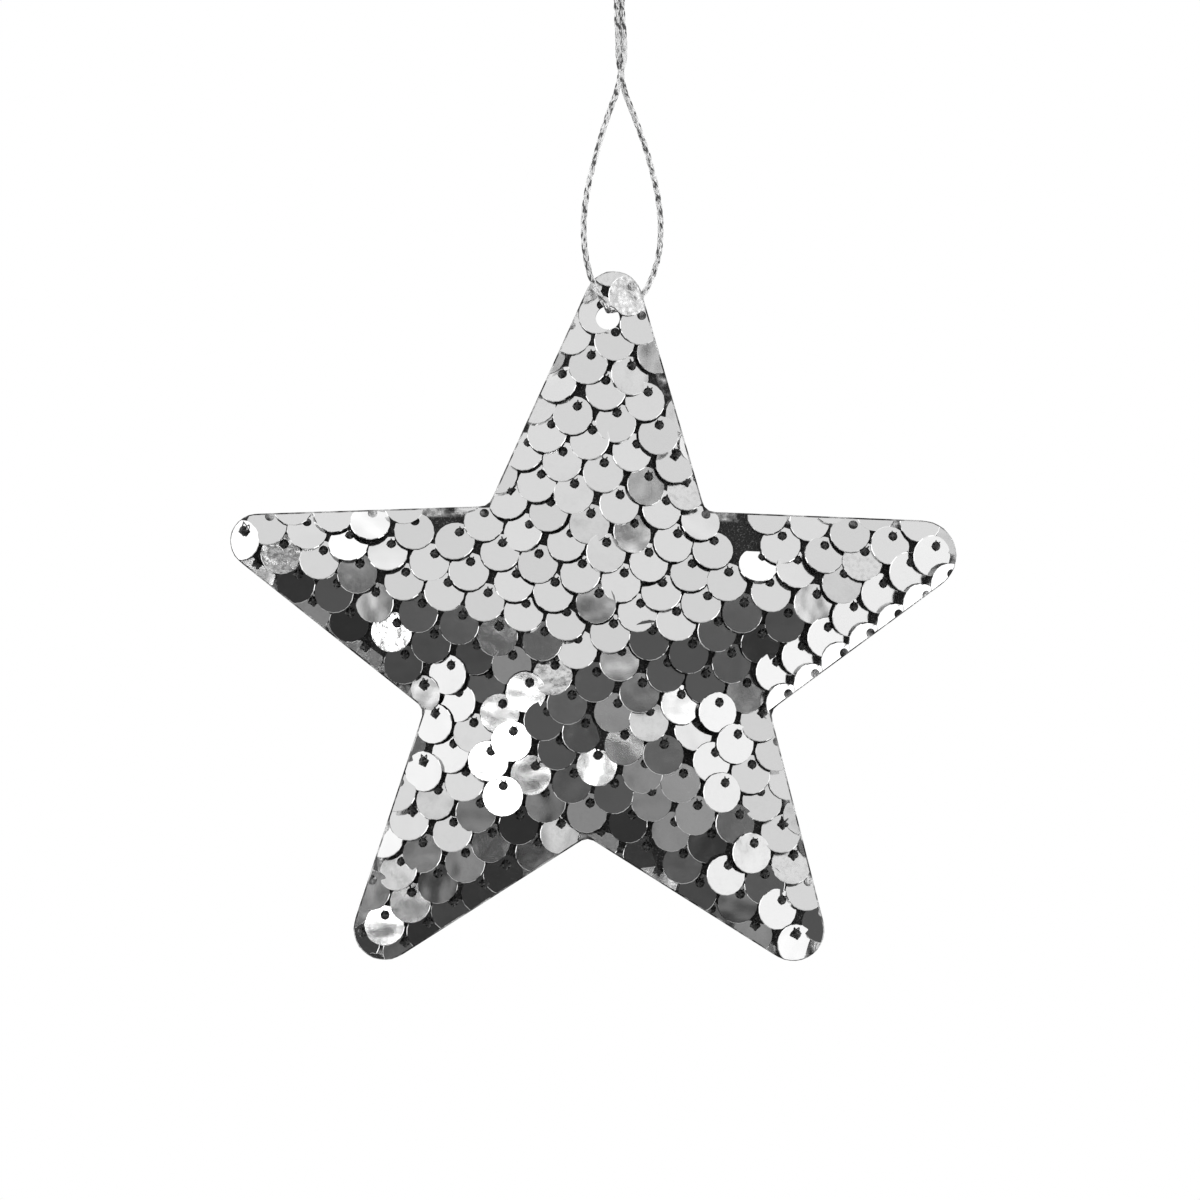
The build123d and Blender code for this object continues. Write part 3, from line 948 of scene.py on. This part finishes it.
def softBox(name, place, aim, size, radiance):
    light = bpy.data.lights.new(name, "AREA")
    light.shape = "RECTANGLE"
    light.size, light.size_y = size
    light.energy = radiance * pi * size[0] * size[1]
    lamp = linked(name, light)
    toward = Vector(aim) - Vector(place)
    lamp.matrix_world = Matrix.Translation(place) @ toward.to_track_quat("-Z", "Y").to_matrix().to_4x4()
    lamp.visible_camera = False


def boxToward(name, azimuth, elevation, distance, size, radiance):
    # azimuth 0 is the camera's side, and grows to the right
    flat = cos(radians(elevation))
    way = Vector((sin(radians(azimuth)) * flat, -cos(radians(azimuth)) * flat, sin(radians(elevation))))
    softBox(name, starMiddle + way * distance, starMiddle, size, radiance)


boxToward("frontTopBox", 0, 50, 0.8, (1.5, 0.98), 0.71)
boxToward("backTopBox", 180, 52, 0.8, (1.5, 0.95), 0.71)
boxToward("lowFrontBox", 0, -14, 0.95, (0.42, 0.3), 0.25)
boxToward("leftBox", -80, 6, 0.8, (1.2, 0.8), 0.98)
boxToward("rightBox", 76, -8, 0.8, (1.3, 1.0), 0.98)
boxToward("keyBox", -11, 4, 0.95, (0.15, 0.15), 6.0)


def whiteSurround():
    world = bpy.data.worlds.new("surround")
    bpy.context.scene.world = world
    world.use_nodes = True
    tree = world.node_tree
    ground = tree.nodes["Background"]
    direction = addNode(tree, "ShaderNodeTexCoord", {}, output=0)
    height = addNode(tree, "ShaderNodeSeparateXYZ", {}, direction, output=2)
    depth = abs(addNode(tree, "ShaderNodeSeparateXYZ", {}, direction, output=1))
    grey = addNode(tree, "ShaderNodeMapRange", {"interpolation_type": "SMOOTHSTEP"}, height,
                   studio["darkTo"], studio["darkFrom"], studio["below"], studio["camera"])
    # metal shows the white surround too, but for the dark openings in front and behind
    aside = addNode(tree, "ShaderNodeMapRange", {"interpolation_type": "SMOOTHSTEP"}, depth,
                    studio["openFrom"], studio["openTo"], 1.0, 0.0)
    cameraRay, glossyRay, clearRay = (addNode(tree, "ShaderNodeLightPath", {}, output=k) for k in (0, 3, 6))
    white = (cameraRay + clearRay + glossyRay * aside).clamp()
    tree.links.new(mixGrey(tree, white, grey, 1.0).socket, ground.inputs["Color"])


def paleFloor():
    data = bpy.data.meshes.new("paleFloor")
    mesh = bmesh.new()
    bmesh.ops.create_circle(mesh, cap_ends=True, segments=96, radius=studio["floorRadius"] * mm,
                            matrix=Matrix.Translation((0, 0, -studio["floorDrop"] * mm)))
    mesh.to_mesh(data)
    mesh.free()
    floor = linked("paleFloor", data)
    material, tree, shader = newMaterial("paleFloor")
    feed(tree, shader, Base_Color=(0.85, 0.85, 0.85, 1), Roughness=0.7)
    data.materials.append(material)


whiteSurround()
paleFloor()
bpy.context.scene.view_settings.view_transform = "Standard"
bpy.context.view_layer.update()
print("studio set")
